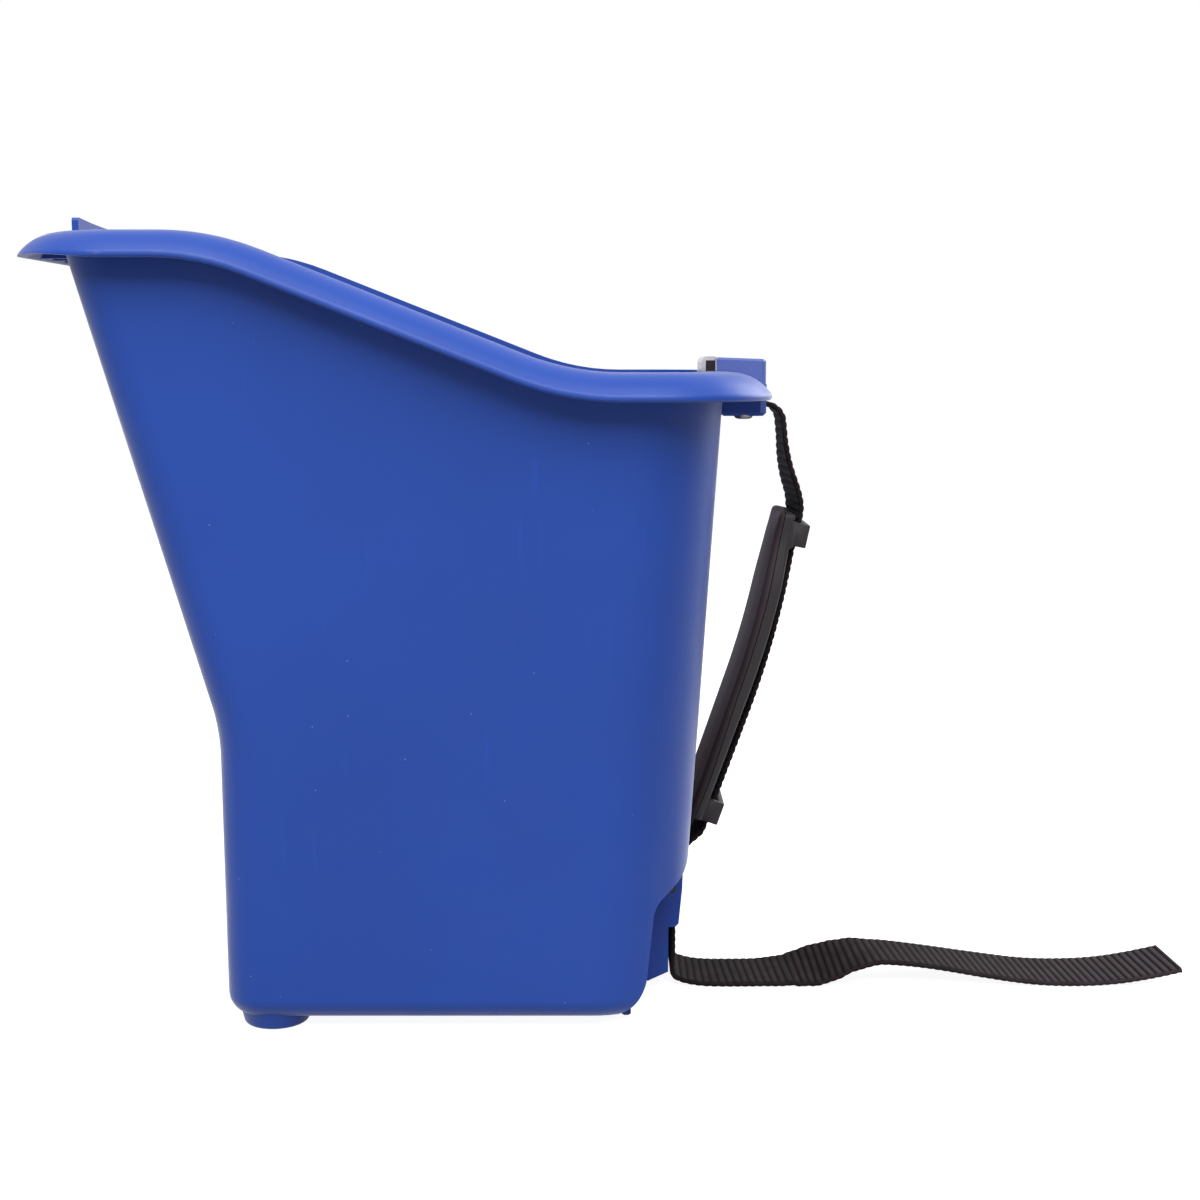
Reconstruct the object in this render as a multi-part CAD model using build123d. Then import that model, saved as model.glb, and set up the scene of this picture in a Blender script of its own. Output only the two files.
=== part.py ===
from build123d import *

import os
from math import acos, atan2, cos, hypot, radians, sin, sqrt, tan

# Hand-held painter's pail: moulded body, rear brush magnet, padded hand strap and strap lock.
# Millimetres. +Z up, floor at z = 0. The sloped front faces -X, the strap is at +X, and the pail is
# symmetric about y = 0. The pieces are drawn about the middle of the base and moved at the end.

# Pail walls
FOOT_HEIGHT = 4.0
BASE_FRONT = -66.0
BASE_HALF_WIDTH = 57.0
SIDE_DRAFT = 1.9
KNEE_HEIGHT = 95.0
KNEE_RADIUS = 60.0
FRONT_SLOPE = 15.7
REAR_AT_FLOOR = 76.0
REAR_SLOPE = 3.7
WALL = 2.5
FLOOR = 2.8
FRONT_CORNER = 12.0
REAR_CORNER = 28.0
BOTTOM_EDGE = 7.0

# Recess across the foot of the rear wall
RECESS_DEPTH = 10.5
RECESS_KNEE_HEIGHT = 39.5
RECESS_TOP = 47.5
RECESS_LEAN = 5.8
RECESS_HEEL_RADIUS = 14.0
RECESS_KNEE_RADIUS = 8.0
RECESS_BROW_RADIUS = 10.0
RECESS_WALL = 4.2
RECESS_EASE = 0.08

# Rim
FRONT_CROWN = 245.1
REAR_CROWN = 204.0
RIM_FALL = 21.5
RIM_FALL_START = -61.9
FALL_TOP_RADIUS = 80.0
FALL_FOOT_RADIUS = 80.0
FRONT_OVERHANG = 15.2
SIDE_OVERHANG = 11.4
REAR_OVERHANG = 14.3
RIM_FRONT_CORNER = 34.0
RIM_REAR_CORNER = 36.0
RIM_HEIGHT = 8.5
RIM_SKIN = 2.2
SKIRT = 1.6
DOME_WIDTH = 13.0
DOME_BLEND = 2.0
SKIRT_EDGE = 0.6

# Front lip
LIP_HEIGHT = 7.0
LIP_LENGTH = 12.0
LIP_RUN_OUT = 18.0
LIP_RIB_COUNT = 6
LIP_RIB_PITCH = 12.3
LIP_RIB_THICKNESS = 2.0
LIP_RIB_RISE = 0.3
FIN_HEIGHT = 4.8
FIN_DISH = 1.5
FIN_THICKNESS = 2.0
FIN_HALF_WIDTH = 45.0
FIN_STEP_IN = 0.7
FIN_CORNER = 1.0

# Feet
FOOT_RADIUS = 10.0
FOOT_FLARE = 1.6
FOOT_FROM_FRONT = 14.5
FOOT_FROM_SIDE = 13.6
FOOT_EDGE = 1.5
FOOT_EMBED = 2.5
REAR_RIB_THICKNESS = 2.9
REAR_RIB_HALF_WIDTH = 41.0
REAR_RIB_SETBACK = 7.2
REAR_RIB_EDGE = 0.8

# Webbing
WEB_WIDTH = 25.0
WEB_THICKNESS = 1.8
WEB_GAP = 0.3
WEB_SIDE_GAP = 0.6

# Brush magnet and its holder
MAGNET_WIDTH = 25.0
MAGNET_THICKNESS = 3.0
MAGNET_RISE = 3.4
POLE_THICKNESS = 1.3
POLE_BEND = 2.0
HOLDER_LENGTH = 15.6
HOLDER_RISE = 4.4
HOLDER_FALL = 0.6
HOLDER_LAP = 0.2
HOLDER_EDGE = 0.7
HOLDER_CORNER = 2.0
HOLDER_FOOT = 1.8
HOLDER_FOOT_STEP = 0.7
NOTCH_GAP = 0.3
SEAT_GAP = 0.1

# Strap clamp and its screws
CLAMP_DROP = 5.6
CLAMP_LENGTH = 14.2
CLAMP_LAP = 0.3
CLAMP_EDGE = 1.0
CLAMP_CORNER = 2.0
CLAMP_SIDE_WALL = 0.55
CLAMP_SLOT_DROP = 0.9
SCREW_SPACING = 32.4
SCREW_SETBACK = 6.8
SCREW_DIAMETER = 3.5
SCREW_BITE = 3.2
SCREW_HEAD_DIAMETER = 6.2
SCREW_HEAD_HEIGHT = 2.0
SCREW_HEAD_SHOW = 1.0
SCREW_GAP = 0.15
THREAD_GAP = 0.05

# Hand pad: heights along the rear wall and standoffs from it
PAD_TOP_HEIGHT = 159.7
PAD_TOP_STANDOFF = 24.5
PAD_BOTTOM_HEIGHT = 59.3
PAD_BOTTOM_STANDOFF = 0.6
PAD_BOW = 3.3
PAD_BOW_PLACE = 0.39
PAD_BOW_RADIUS = 300.0
PAD_TAB_LENGTH = 17.0
CUSHION_THICKNESS = 3.1
CUSHION_TAB_THICKNESS = 2.3
CUSHION_LAP = 0.5
CUSHION_EDGE = 1.2
CUSHION_SHORT = 5.0
CUSHION_WALL_GAP = 0.4
BACKING_THICKNESS = 4.0
BACKING_TAB_THICKNESS = 3.5
BACKING_HALF_WIDTH = 19.5
BACKING_CORNER = 4.0
BACKING_TAB_CORNER = 2.0
BACKING_EDGE = 0.8
LOOP_LENGTH = 7.6
LOOP_REACH = 4.8
LOOP_BAR = 2.2
LOOP_CHEEK = 1.7
TOP_LOOP_FROM_END = 4.4
BOTTOM_LOOP_FROM_END = 0.2

# Strap route
STRAP_TUCK = 10.5
STRAP_REACH = 5.8
STRAP_WAIST = 1.35
STRAP_WAIST_PLACE = 0.42
STRAP_TOP_RISE = 2.0
STRAP_SLACK = 0.4
STRAP_BEND_SHARE = 0.33
STRAP_BEND_RISE = 3.4
STRAP_BROW_RISE = 1.2
STRAP_BROW_STANDOFF = -0.1
STRAP_BEND_RADIUS = 5.0

# Strap lock
PIN_SETBACK = 3.6
PIN_HEIGHT = 34.6
PIN_DIAMETER = 2.9
PIN_GAP = 0.05
PIN_RECESS = 0.2
CHEEK_THICKNESS = 3.3
CHEEK_LENGTH = 13.2
CHEEK_LEAN = 5.0
CHEEK_CHAMFER = 1.2
SEAT_SETBACK = 1.0
SEAT_FOOT_RISE = 2.1
SEAT_HEEL_DROP = 1.0
SEAT_FOOT_SLOPE = 25.0
LEVER_HUB_RADIUS = 3.5
LEVER_GAP = 0.3
LEVER_PIN_GAP = 0.1
LEVER_JAW_GAP = 0.05
LEVER_TOE_RISE = 0.6

# Loose end of the webbing, from the strap's seat along the floor: distance behind the seat and height
TAIL_START = 10.9
TAIL_BEND_SHARE = 0.45
TAIL_POINTS = [
    (0.0, 5.4),
    (2.0, 2.9),
    (8.0, 1.4),
    (16.0, 1.0),
    (33.0, 1.03),
    (51.2, 1.05),
    (65.5, 9.1),
    (82.0, 7.4),
    (108.0, 3.0),
    (124.0, 0.97),
    (143.0, 1.0),
    (158.0, 3.0),
    (169.2, 5.6),
]


def front_x(z):
    """Front wall's outer face at height z."""
    return BASE_FRONT - max(0.0, z - KNEE_HEIGHT) * tan(radians(FRONT_SLOPE))


def rear_x(z):
    """Rear wall's outer face at height z."""
    return REAR_AT_FLOOR + z * tan(radians(REAR_SLOPE))


def side_y(z):
    """Side wall's outer face at height z."""
    return BASE_HALF_WIDTH + (z - FOOT_HEIGHT) * tan(radians(SIDE_DRAFT))


RIM_FRONT = front_x(FRONT_CROWN) - FRONT_OVERHANG
RIM_REAR = rear_x(REAR_CROWN) + REAR_OVERHANG
RIM_HALF_WIDTH = side_y(REAR_CROWN) + SIDE_OVERHANG
RIM_FALL_END = RIM_FALL_START + (FRONT_CROWN - REAR_CROWN) / tan(radians(RIM_FALL))
DOME_DROP = RIM_HEIGHT - SKIRT
DOME_RADIUS = (DOME_WIDTH**2 + DOME_DROP**2) / (2 * DOME_DROP)
SKY = FRONT_CROWN + 30.0


def in_side_view(sketch, half_width):
    """Extrude a face drawn in side view (x, z) to both sides of the middle plane."""
    return extrude(Plane.XZ * sketch, amount=half_width, both=True)


def shifted_route(route, turns, distance):
    """A route and its corner radii moved sideways, to the left of its direction of travel."""
    count = len(route)
    heads = []
    for (x0, z0), (x1, z1) in zip(route, route[1:]):
        length = hypot(x1 - x0, z1 - z0)
        heads.append(((x1 - x0) / length, (z1 - z0) / length))
    points = []
    radii = []
    for index, (x, z) in enumerate(route):
        ax, az = heads[max(index - 1, 0)]
        bx, bz = heads[min(index, count - 2)]
        spread = distance / (1 + ax * bx + az * bz)
        points.append((x - (az + bz) * spread, z + (ax + bx) * spread))
        if 0 < index < count - 1:
            turning_left = ax * bz - az * bx > 0
            radii.append(turns[index - 1] + (-distance if turning_left else distance))
    return points, radii


def band(route, turns, left, right):
    """Face between a route moved left and the same route moved right."""
    sides = []
    for distance in (left, -right):
        points, radii = shifted_route(route, turns, distance)
        sides.append(FilletPolyline(*points, radius=radii) if radii else Line(*points))
    ends = [Line(sides[0] @ 0, sides[1] @ 0), Line(sides[0] @ 1, sides[1] @ 1)]
    return make_face([*sides[0].edges(), *sides[1].edges(), *ends])


def polygon(*points):
    return make_face(Polyline(*points, close=True).edges())


# Pail body


def pail_block(inset, floor):
    """The pail's form moved in by inset, from its floor to well above the rim, corners rounded."""
    slope = radians(FRONT_SLOPE)
    front = BASE_FRONT + inset
    knee = KNEE_HEIGHT + inset * tan(slope / 2)
    bottom = FOOT_HEIGHT + floor
    rear_shift = inset / cos(radians(REAR_SLOPE))
    front_line = FilletPolyline(
        (front, bottom),
        (front, knee),
        (front - (SKY - knee) * tan(slope), SKY),
        radius=KNEE_RADIUS + inset,
    )
    rear_line = Polyline(
        front_line @ 1,
        (rear_x(SKY) - rear_shift, SKY),
        (rear_x(bottom) - rear_shift, bottom),
        front_line @ 0,
    )
    side_view = make_face([*front_line.edges(), *rear_line.edges()])
    draft_shift = inset / cos(radians(SIDE_DRAFT))
    low = side_y(bottom) - draft_shift
    high = side_y(SKY) - draft_shift
    end_view = Plane.YZ * polygon((-low, bottom), (low, bottom), (high, SKY), (-high, SKY))
    reach = rear_x(SKY) - front_x(SKY)
    block = in_side_view(side_view, high) & extrude(end_view, amount=reach, both=True)

    def uprights(solid, rear):
        side_faces = [f for f in solid.faces() if abs(f.normal_at().Y) > 0.9]
        edges = [e for f in side_faces for e in f.edges()]
        level = [e for e in edges if abs((e @ 0).Z - (e @ 1).Z) < 1e-6]
        upright = [e for e in edges if e not in level]
        return [e for e in upright if (e.center().X > 0) == rear]

    block = fillet(uprights(block, True), REAR_CORNER - inset)
    block = fillet(uprights(block, False), FRONT_CORNER - inset)
    base = block.faces().sort_by(Axis.Z)[0]
    return fillet(base.edges(), BOTTOM_EDGE - inset)


def rear_cutter(inset, floor):
    """Everything behind the recessed lower rear wall, that wall being moved in by inset."""
    lean = tan(radians(RECESS_LEAN))
    knee_x = rear_x(RECESS_KNEE_HEIGHT) - RECESS_DEPTH
    low = FOOT_HEIGHT + floor - RECESS_EASE - inset
    outline = [
        (BASE_FRONT / 2, low),
        (knee_x - (RECESS_KNEE_HEIGHT - low) * lean, low),
        (knee_x, RECESS_KNEE_HEIGHT),
        (rear_x(RECESS_TOP) + RECESS_EASE, RECESS_TOP),
        (rear_x(SKY) + RECESS_EASE, SKY),
    ]
    turns = [RECESS_HEEL_RADIUS + inset, RECESS_KNEE_RADIUS, RECESS_BROW_RADIUS]
    points, radii = shifted_route(outline, turns, inset)
    wall = FilletPolyline(*points, radius=radii)
    far = rear_x(SKY) + REAR_OVERHANG
    around = Polyline(wall @ 1, (far, SKY), (far, -FOOT_HEIGHT), (points[0][0], -FOOT_HEIGHT), wall @ 0)
    return in_side_view(make_face([*wall.edges(), *around.edges()]), side_y(SKY))


def crown_line():
    """Side view of the rim's crown, front to rear, with its corner radii."""
    far = rear_x(SKY) + REAR_OVERHANG
    near = front_x(SKY) - FRONT_OVERHANG
    points = [
        (near, FRONT_CROWN),
        (RIM_FALL_START, FRONT_CROWN),
        (RIM_FALL_END, REAR_CROWN),
        (far, REAR_CROWN),
    ]
    return points, [FALL_TOP_RADIUS, FALL_FOOT_RADIUS]


def above_crown(drop):
    """Everything above a surface that lies drop below the crown."""
    points, turns = crown_line()
    points, turns = shifted_route(points, turns, -drop)
    line = FilletPolyline(*points, radius=turns)
    cap = Polyline(line @ 1, (points[-1][0], 2 * SKY), (points[0][0], 2 * SKY), line @ 0)
    return in_side_view(make_face([*line.edges(), *cap.edges()]), 2 * RIM_HALF_WIDTH)


def dome_point(distance, drop):
    """Point of the dome, drop below its skin, at a distance inboard of the rim's edge."""
    radius = DOME_RADIUS - drop
    return -distance, sqrt(radius**2 - (DOME_WIDTH - distance) ** 2) - DOME_RADIUS


def rim_section(reach):
    """Rim's cut face, from its outer edge inwards, with the crown at height 0."""
    outer = ThreePointArc(dome_point(0, 0), dome_point(DOME_WIDTH / 2, 0), dome_point(DOME_WIDTH, 0))
    inner = ThreePointArc(
        dome_point(DOME_WIDTH, RIM_SKIN),
        dome_point(DOME_WIDTH / 2, RIM_SKIN),
        dome_point(RIM_SKIN, RIM_SKIN),
    )
    top = Polyline(outer @ 1, (-reach, 0), (-reach, -RIM_SKIN), inner @ 0)
    skirt = Polyline(inner @ 1, (-RIM_SKIN, -RIM_HEIGHT), (0, -RIM_HEIGHT), outer @ 0)
    face = make_face([*outer.edges(), *top.edges(), *inner.edges(), *skirt.edges()])
    edge = face.vertices().group_by(Axis.X)[-1].sort_by(Axis.Y)
    face = fillet(edge[-1], DOME_BLEND)
    foot = face.vertices().group_by(Axis.X)[-1].sort_by(Axis.Y)
    return chamfer(foot[0], SKIRT_EDGE)


def rim_ring():
    """Down-turned rim: its section swept round half the pail, then mirrored."""
    reach = max(FRONT_OVERHANG, SIDE_OVERHANG, REAR_OVERHANG) + 3 * WALL
    route = [
        (RIM_FRONT, 0, FRONT_CROWN),
        (RIM_FRONT, -RIM_HALF_WIDTH, FRONT_CROWN),
        (RIM_FALL_START, -RIM_HALF_WIDTH, FRONT_CROWN),
        (RIM_FALL_END, -RIM_HALF_WIDTH, REAR_CROWN),
        (RIM_REAR, -RIM_HALF_WIDTH, REAR_CROWN),
        (RIM_REAR, 0, REAR_CROWN),
    ]
    turns = [RIM_FRONT_CORNER, FALL_TOP_RADIUS, FALL_FOOT_RADIUS, RIM_REAR_CORNER]
    path = FilletPolyline(*route, radius=turns)
    start = Plane(origin=route[0], x_dir=(-1, 0, 0), z_dir=(0, 1, 0))
    half = sweep(start * rim_section(reach), path=path) - below_lip()
    return half + mirror(half, about=Plane.XZ)


def below_lip():
    """Space below the front lip, where the skirt is lower than at the sides."""
    lip_low = FRONT_CROWN - LIP_HEIGHT
    side_low = FRONT_CROWN - RIM_HEIGHT
    bend = RIM_FRONT + LIP_LENGTH
    space = polygon(
        (RIM_FRONT - RIM_SKIN, lip_low),
        (bend, lip_low),
        (bend + LIP_RUN_OUT, side_low),
        (bend, side_low - RIM_SKIN),
        (RIM_FRONT - RIM_SKIN, side_low - RIM_SKIN),
    )
    return in_side_view(space, 2 * RIM_HALF_WIDTH)


def lip_ribs():
    """Stiffening ribs under the front lip, in the hollow of the rim."""
    tip = RIM_FRONT + 2 * RIM_SKIN / 3
    inside = front_x(FRONT_CROWN) + WALL / 2
    low = FRONT_CROWN - LIP_HEIGHT + LIP_RIB_RISE
    mid_skin = RIM_SKIN / 2
    tip_top = FRONT_CROWN + dome_point(2 * RIM_SKIN / 3, mid_skin)[1]
    dome_end = RIM_FRONT + DOME_WIDTH
    rib = polygon(
        (tip, low),
        (inside, low),
        (inside, FRONT_CROWN - mid_skin),
        (dome_end, FRONT_CROWN - mid_skin),
        (tip, tip_top),
    )
    solid = in_side_view(rib, LIP_RIB_THICKNESS / 2)
    first = -(LIP_RIB_COUNT - 1) / 2 * LIP_RIB_PITCH
    return [Pos(0, first + i * LIP_RIB_PITCH, 0) * solid for i in range(LIP_RIB_COUNT)]


def scraper_fin():
    """Upright fin across the front lip, close to the pail's inner face, its top edge dished."""
    inner = front_x(FRONT_CROWN) + WALL / cos(radians(FRONT_SLOPE)) + FIN_STEP_IN
    low = FRONT_CROWN - RIM_SKIN / 2
    high = FRONT_CROWN + FIN_HEIGHT
    ends = [(-FIN_HALF_WIDTH, high), (-FIN_HALF_WIDTH, low), (FIN_HALF_WIDTH, low), (FIN_HALF_WIDTH, high)]
    top = ThreePointArc(ends[0], (0, high - FIN_DISH), ends[-1])
    face = make_face([*Polyline(*ends).edges(), *top.edges()])
    face = fillet(face.vertices().group_by(Axis.Y)[-1], FIN_CORNER)
    return extrude(Plane.YZ.offset(inner - FIN_THICKNESS) * face, amount=FIN_THICKNESS)


def feet():
    """Two round front feet and a rib across the rear."""
    embed = FOOT_HEIGHT + FOOT_EMBED
    disc = Cone(FOOT_RADIUS, FOOT_RADIUS + FOOT_FLARE, embed, align=(Align.CENTER, Align.CENTER, Align.MIN))
    disc = fillet(disc.edges().sort_by(Axis.Z)[0], FOOT_EDGE)
    x = BASE_FRONT + FOOT_FROM_FRONT
    y = BASE_HALF_WIDTH - FOOT_FROM_SIDE
    rib_x = rear_x(RECESS_KNEE_HEIGHT) - RECESS_DEPTH - REAR_RIB_SETBACK - REAR_RIB_THICKNESS
    rib_high = FOOT_HEIGHT + RECESS_WALL
    rib = Pos(rib_x + REAR_RIB_THICKNESS / 2, 0, rib_high / 2)
    rib = rib * Box(REAR_RIB_THICKNESS, 2 * REAR_RIB_HALF_WIDTH, rib_high)
    rib = chamfer(rib.faces().sort_by(Axis.Z)[0].edges(), REAR_RIB_EDGE)
    return [Pos(x, -y, 0) * disc, Pos(x, y, 0) * disc, rib]


# Strap route, from the clamp under the rear rim past the hand pad to the lock at the foot

PIN = (rear_x(PIN_HEIGHT) - PIN_SETBACK, PIN_HEIGHT)
WEB_HALF = WEB_THICKNESS / 2
SLOT_HALF_WIDTH = WEB_WIDTH / 2 + WEB_SIDE_GAP
TAB_HALF_WIDTH = SLOT_HALF_WIDTH + LOOP_CHEEK
SLOT_HEIGHT = REAR_CROWN - RIM_HEIGHT - CLAMP_SLOT_DROP - WEB_GAP - WEB_HALF
HOUSING_HALF_WIDTH = SLOT_HALF_WIDTH + CHEEK_THICKNESS
SEAT_FACE = PIN[0] - SEAT_SETBACK
STRAP_DROP_X = SEAT_FACE + WEB_GAP + WEB_HALF
CHEEK_FOOT = PIN_HEIGHT - CHEEK_LENGTH
STRAP_EXIT = (STRAP_DROP_X, CHEEK_FOOT - WEB_GAP)
STRAP_END = (STRAP_DROP_X, TAIL_START)

PAD_TOP = (rear_x(PAD_TOP_HEIGHT) + PAD_TOP_STANDOFF, PAD_TOP_HEIGHT)
PAD_BOTTOM = (rear_x(PAD_BOTTOM_HEIGHT) + PAD_BOTTOM_STANDOFF, PAD_BOTTOM_HEIGHT)


def pad_route():
    """Side view of the face between the pad's cushion and its backing, top to bottom, its tab straight."""
    (x0, z0), (x1, z1) = PAD_TOP, PAD_BOTTOM
    bow = PAD_BOW / hypot(x1 - x0, z1 - z0)
    middle_x = x0 + (x1 - x0) * PAD_BOW_PLACE - (z1 - z0) * bow
    middle_z = z0 + (z1 - z0) * PAD_BOW_PLACE + (x1 - x0) * bow
    middle = (middle_x, middle_z)
    tab_root = along(PAD_TOP, middle, PAD_TAB_LENGTH + 3 * CUSHION_EDGE)
    widest = bend_radius(tab_root, middle, PAD_BOTTOM, 1)
    return [PAD_TOP, middle, PAD_BOTTOM], [min(PAD_BOW_RADIUS, widest)]


def wrap_corner(before, after, radius):
    """Corner of a route that is wrapped round the front of the lock pin."""
    radials = []
    for point, side in ((before, 1), (after, -1)):
        away = atan2(point[1] - PIN[1], point[0] - PIN[0])
        reach = hypot(point[0] - PIN[0], point[1] - PIN[1])
        angle = away + side * acos(radius / reach)
        radials.append((cos(angle), sin(angle)))
    (ax, az), (bx, bz) = radials
    scale = radius / (1 + ax * bx + az * bz)
    return PIN[0] + (ax + bx) * scale, PIN[1] + (az + bz) * scale


def bend_radius(before, here, after, share):
    """Radius of a corner that takes a share of the shorter run beside it."""
    legs = [hypot(here[0] - p[0], here[1] - p[1]) for p in (before, after)]
    way_in = atan2(here[1] - before[1], here[0] - before[0])
    way_out = atan2(after[1] - here[1], after[0] - here[0])
    return share * min(legs) / tan(abs(way_out - way_in) / 2)


def strap_route():
    """Side view of the webbing's middle line, with its corner radii."""
    pad_points, pad_turns = pad_route()
    web_shift = WEB_GAP + WEB_HALF
    tab_points = shifted_route(pad_points, pad_turns, BACKING_TAB_THICKNESS + web_shift)[0]
    bow_points, bow_turn = shifted_route(pad_points, pad_turns, BACKING_THICKNESS + web_shift + STRAP_SLACK)
    foot = shifted_route(pad_points, pad_turns, BACKING_THICKNESS + web_shift)[0][-1]
    bow = bow_points[1]
    lean = (tab_points[0][0] - bow[0]) / (tab_points[0][1] - bow[1])
    top = (tab_points[0][0] + lean * STRAP_TOP_RISE, tab_points[0][1] + STRAP_TOP_RISE)
    run_out = (foot[0] - bow[0]) / (foot[1] - bow[1])
    brow_z = RECESS_TOP + STRAP_BROW_RISE
    leave = (foot[0] + (brow_z + STRAP_BEND_RISE - foot[1]) * run_out, brow_z + STRAP_BEND_RISE)
    brow = (rear_x(brow_z) + STRAP_BROW_STANDOFF, brow_z)
    wrap_radius = LEVER_HUB_RADIUS + SEAT_GAP + WEB_HALF
    shoulder = (RIM_REAR + STRAP_REACH, SLOT_HEIGHT)
    waist_x = top[0] + (shoulder[0] - top[0]) * STRAP_WAIST_PLACE - STRAP_WAIST
    waist = (waist_x, top[1] + (shoulder[1] - top[1]) * STRAP_WAIST_PLACE)
    shoulder_turn = atan2(shoulder[1] - waist[1], waist[0] - shoulder[0])
    shoulder_radius = (STRAP_REACH - CLAMP_LAP) / tan(shoulder_turn / 2)
    points = [
        (RIM_REAR - STRAP_TUCK, SLOT_HEIGHT),
        shoulder,
        waist,
        top,
        bow,
        leave,
        brow,
        wrap_corner(brow, STRAP_EXIT, wrap_radius),
        STRAP_EXIT,
        STRAP_END,
    ]
    turns = [
        shoulder_radius,
        bend_radius(shoulder, waist, top, STRAP_BEND_SHARE),
        bend_radius(waist, top, bow, STRAP_BEND_SHARE),
        bow_turn[0],
        STRAP_BEND_RADIUS,
        STRAP_BEND_RADIUS,
        wrap_radius,
        STRAP_BEND_RADIUS,
    ]
    return points, turns


def lock_housing():
    """Block in the recess that carries the lock: cheeks at its sides, the strap's seat between them."""
    lean = tan(radians(RECESS_LEAN))
    knee_x = rear_x(RECESS_KNEE_HEIGHT) - RECESS_DEPTH
    root = RECESS_WALL / 2
    heel_x = knee_x - (RECESS_KNEE_HEIGHT - FOOT_HEIGHT) * lean
    seat_low = FOOT_HEIGHT + SEAT_FOOT_RISE
    heel_low = FOOT_HEIGHT - SEAT_HEEL_DROP
    slope_run = (seat_low - heel_low) / tan(radians(SEAT_FOOT_SLOPE))
    rear_edge = PIN[0] + LEVER_HUB_RADIUS
    toe = rear_edge - CHEEK_LENGTH * tan(radians(CHEEK_LEAN))
    outline = polygon(
        (heel_x - root, heel_low),
        (SEAT_FACE - slope_run, heel_low),
        (SEAT_FACE, seat_low),
        (SEAT_FACE, CHEEK_FOOT),
        (toe - CHEEK_CHAMFER, CHEEK_FOOT),
        (toe, CHEEK_FOOT + CHEEK_CHAMFER),
        (rear_edge, PIN_HEIGHT),
        (rear_x(RECESS_TOP) - CHEEK_CHAMFER / 2, RECESS_TOP - CHEEK_CHAMFER),
        (rear_x(RECESS_TOP) - root, RECESS_TOP + CHEEK_CHAMFER),
        (knee_x - root / 2, RECESS_KNEE_HEIGHT),
        (heel_x - root / 2, FOOT_HEIGHT + RECESS_HEEL_RADIUS),
    )
    return in_side_view(outline, HOUSING_HALF_WIDTH)


def strap_passage():
    """Space for the webbing and the lever in the lock housing."""
    points, turns = strap_route()
    low_points = points[5:]
    low_turns = turns[5:]
    passage = band(low_points, low_turns, WEB_HALF + WEB_GAP, WEB_HALF + WEB_GAP)
    brow, wrap, way_out = low_points[1:4]
    far = RIM_REAR
    pocket = polygon(brow, wrap, way_out, (far, way_out[1]), (far, brow[1]))
    return in_side_view(passage, SLOT_HALF_WIDTH) + in_side_view(pocket, SLOT_HALF_WIDTH)


def pin_rod(gap, half_length):
    """Round bar on the lock pin's axis."""
    return Pos(PIN[0], 0, PIN[1]) * Rot(90, 0, 0) * Cylinder(PIN_DIAMETER / 2 + gap, 2 * half_length)


def screw_rods(diameter, low, high):
    """Two upright bars on the clamp screws' axes."""
    middle = (low + high) / 2
    rod = Cylinder(diameter / 2, high - low)
    x = RIM_REAR - SCREW_SETBACK
    return [Pos(x, side * SCREW_SPACING / 2, middle) * rod for side in (-1, 1)]


HOLDER_HALF_WIDTH = (SCREW_SPACING + SCREW_HEAD_DIAMETER) / 2 + SCREW_GAP + CLAMP_SIDE_WALL
MAGNET_BACK = RIM_REAR - HOLDER_LENGTH
MAGNET_LOW = REAR_CROWN - RIM_SKIN
SKIRT_LOW = REAR_CROWN - RIM_HEIGHT


def magnet_notch():
    """Gap in the rear rim that the magnet is let into."""
    depth = REAR_OVERHANG + WALL
    high = RIM_HEIGHT
    place = Pos(MAGNET_BACK + NOTCH_GAP - depth / 2, 0, MAGNET_LOW - NOTCH_GAP + high / 2)
    return place * Box(depth, MAGNET_WIDTH + 2 * NOTCH_GAP, high)


def pail_body():
    shell = pail_block(0, 0) - rear_cutter(0, 0) - above_crown(RIM_SKIN / 2)
    shell = shell + rim_ring() + lip_ribs() + feet() + lock_housing()
    shell = shell - (pail_block(WALL, FLOOR) - rear_cutter(RECESS_WALL, FLOOR))
    shell = shell + scraper_fin() - magnet_notch() - strap_passage()
    shell = shell - pin_rod(PIN_GAP, 2 * HOUSING_HALF_WIDTH)
    return shell - screw_rods(SCREW_DIAMETER + 2 * SCREW_GAP, SKIRT_LOW, REAR_CROWN + SCREW_BITE)


# Brush magnet, its holder and the strap clamp, all drawn from the rear rim's edge and crown


def at_rear_rim(sketch, half_width):
    """Extrude a face drawn from the rear rim's outer edge, with the crown at height 0."""
    return Pos(RIM_REAR, 0, REAR_CROWN) * in_side_view(sketch, half_width)


def dome_arc(first, last, drop):
    """Part of the dome, drop below its skin, between two distances inboard of the rim's edge."""
    middle = (first + last) / 2
    return ThreePointArc(dome_point(first, drop), dome_point(middle, drop), dome_point(last, drop))


def rear_uprights(solid):
    """Upright edges at the rear corners of a solid."""
    return solid.edges().filter_by(Axis.Z).group_by(Axis.X)[-1]


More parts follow.
